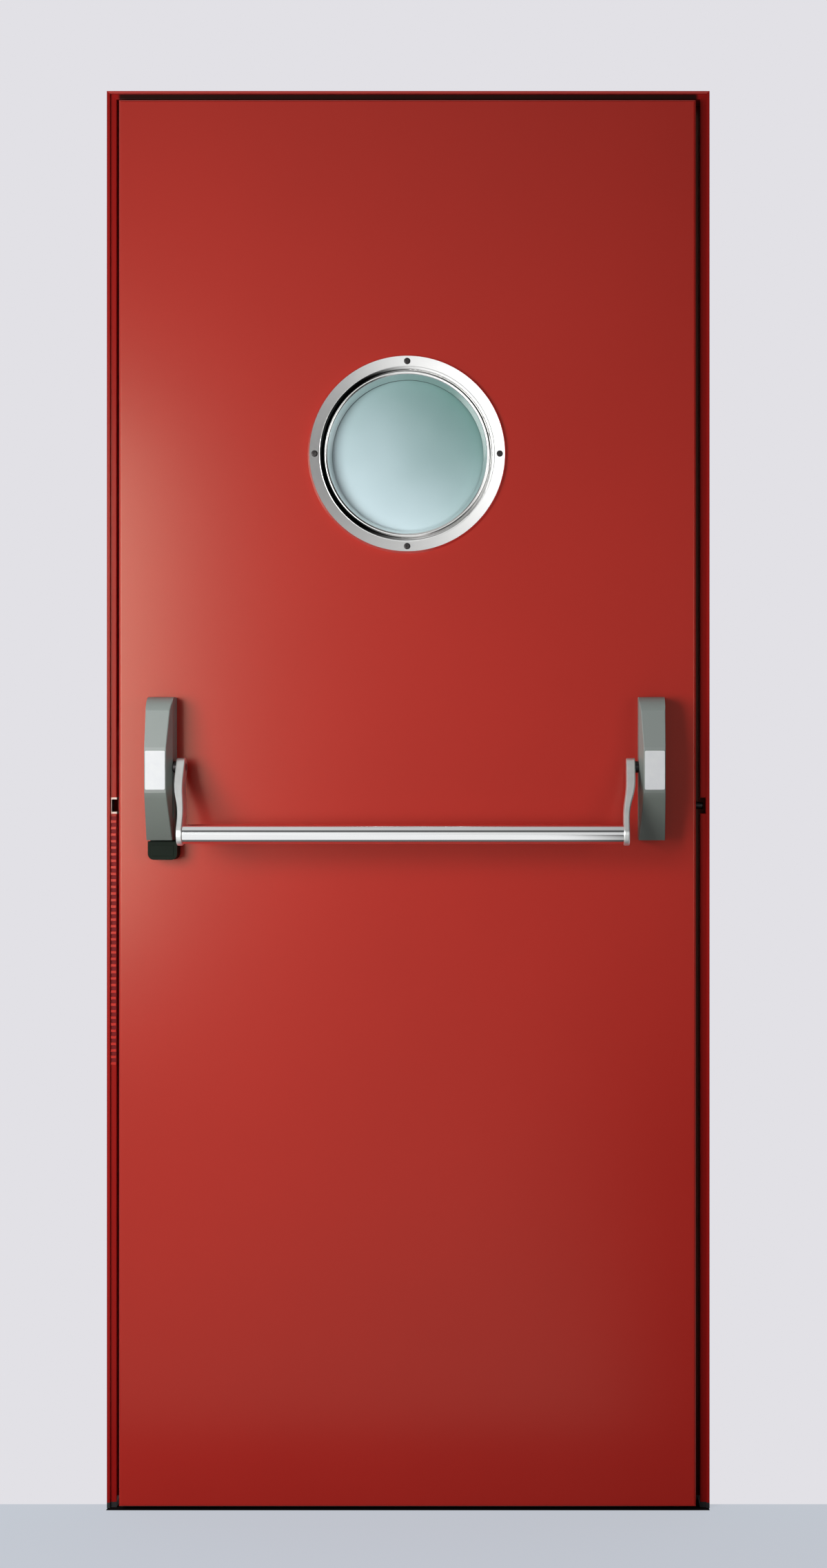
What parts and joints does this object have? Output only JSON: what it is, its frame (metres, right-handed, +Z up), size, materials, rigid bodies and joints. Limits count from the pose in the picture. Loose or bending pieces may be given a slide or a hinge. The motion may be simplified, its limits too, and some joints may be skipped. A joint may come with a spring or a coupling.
{
  "type": "steel utility door with push bar, in its frame",
  "caption": "Red steel escape door in its folded frame, with a round window, a push bar on cranked arms under slotted covers, and hinges on the pull side.",
  "frame": {"origin": "On the hinge jamb's wall face, at floor level and in the leaf's middle plane.", "axes": "+Z up, +X out of the hinge jamb into the wall, -Y out of the push face."},
  "size_m": [0.893, 0.2005, 2.1],
  "materials": {
    "red_paint": "satin",
    "black_shoe": "matte",
    "seal_rubber": "matte",
    "graphite_strip": "matte",
    "zinc_steel": "satin",
    "mineral_board": "matte",
    "pale_glass": "gloss",
    "polished_ring": "polished",
    "grey_cover": "satin",
    "dark_base": "matte",
    "white_plate": "gloss",
    "satin_arm": "satin",
    "bright_bar": "polished"
  },
  "bodies": {
    "frame": {"hinge_jamb": "red_paint", "lock_jamb": "red_paint", "head_member": "red_paint", "hinge_jamb_foot": "black_shoe", "lock_jamb_foot": "black_shoe", "hinge_jamb_seal": "seal_rubber", "lock_jamb_seal": "seal_rubber", "head_seal": "seal_rubber", "strike_liner": "zinc_steel", "lower_hinge_frame_wing": "red_paint", "upper_hinge_frame_wing": "red_paint", "lower_hinge_pin": "zinc_steel", "upper_hinge_pin": "zinc_steel"},
    "leaf": {"push_skin": "red_paint", "pull_skin": "red_paint", "edge_strip": "graphite_strip", "leaf_core": "mineral_board", "glass_pane": "pale_glass", "push_side_ring": "polished_ring", "pull_side_ring": "polished_ring", "push_side_glazing_seal": "seal_rubber", "pull_side_glazing_seal": "seal_rubber", "lock_forend": "zinc_steel", "latch_bolt": "zinc_steel", "dog_bolt": "zinc_steel", "hinge_side_base": "dark_base", "lock_side_base": "dark_base", "hinge_side_cover": "grey_cover", "lock_side_cover": "grey_cover", "hinge_side_plate": "white_plate", "lock_side_plate": "white_plate", "lower_hinge_leaf_wing": "red_paint", "upper_hinge_leaf_wing": "red_paint"},
    "bar_gear": {"push_bar": "bright_bar", "hinge_side_arm": "satin_arm", "lock_side_arm": "satin_arm", "hinge_side_axle": "zinc_steel", "lock_side_axle": "zinc_steel"}
  },
  "joints": [
    {"name": "leaf_swing", "type": "hinge", "parent": "frame", "child": "leaf", "pos_m": [-0.009, 0.046, 1.05], "axis": [0, 0, -1], "range_deg": [0, 110], "stiffness_Nm_per_rad": 6, "springref_deg": -28.65},
    {"name": "bar_push", "type": "hinge", "parent": "leaf", "child": "bar_gear", "pos_m": [-0.447, -0.066, 1.098], "axis": [1, 0, 0], "range_deg": [0, 30], "stiffness_Nm_per_rad": 6, "springref_deg": -22.92}
  ]
}
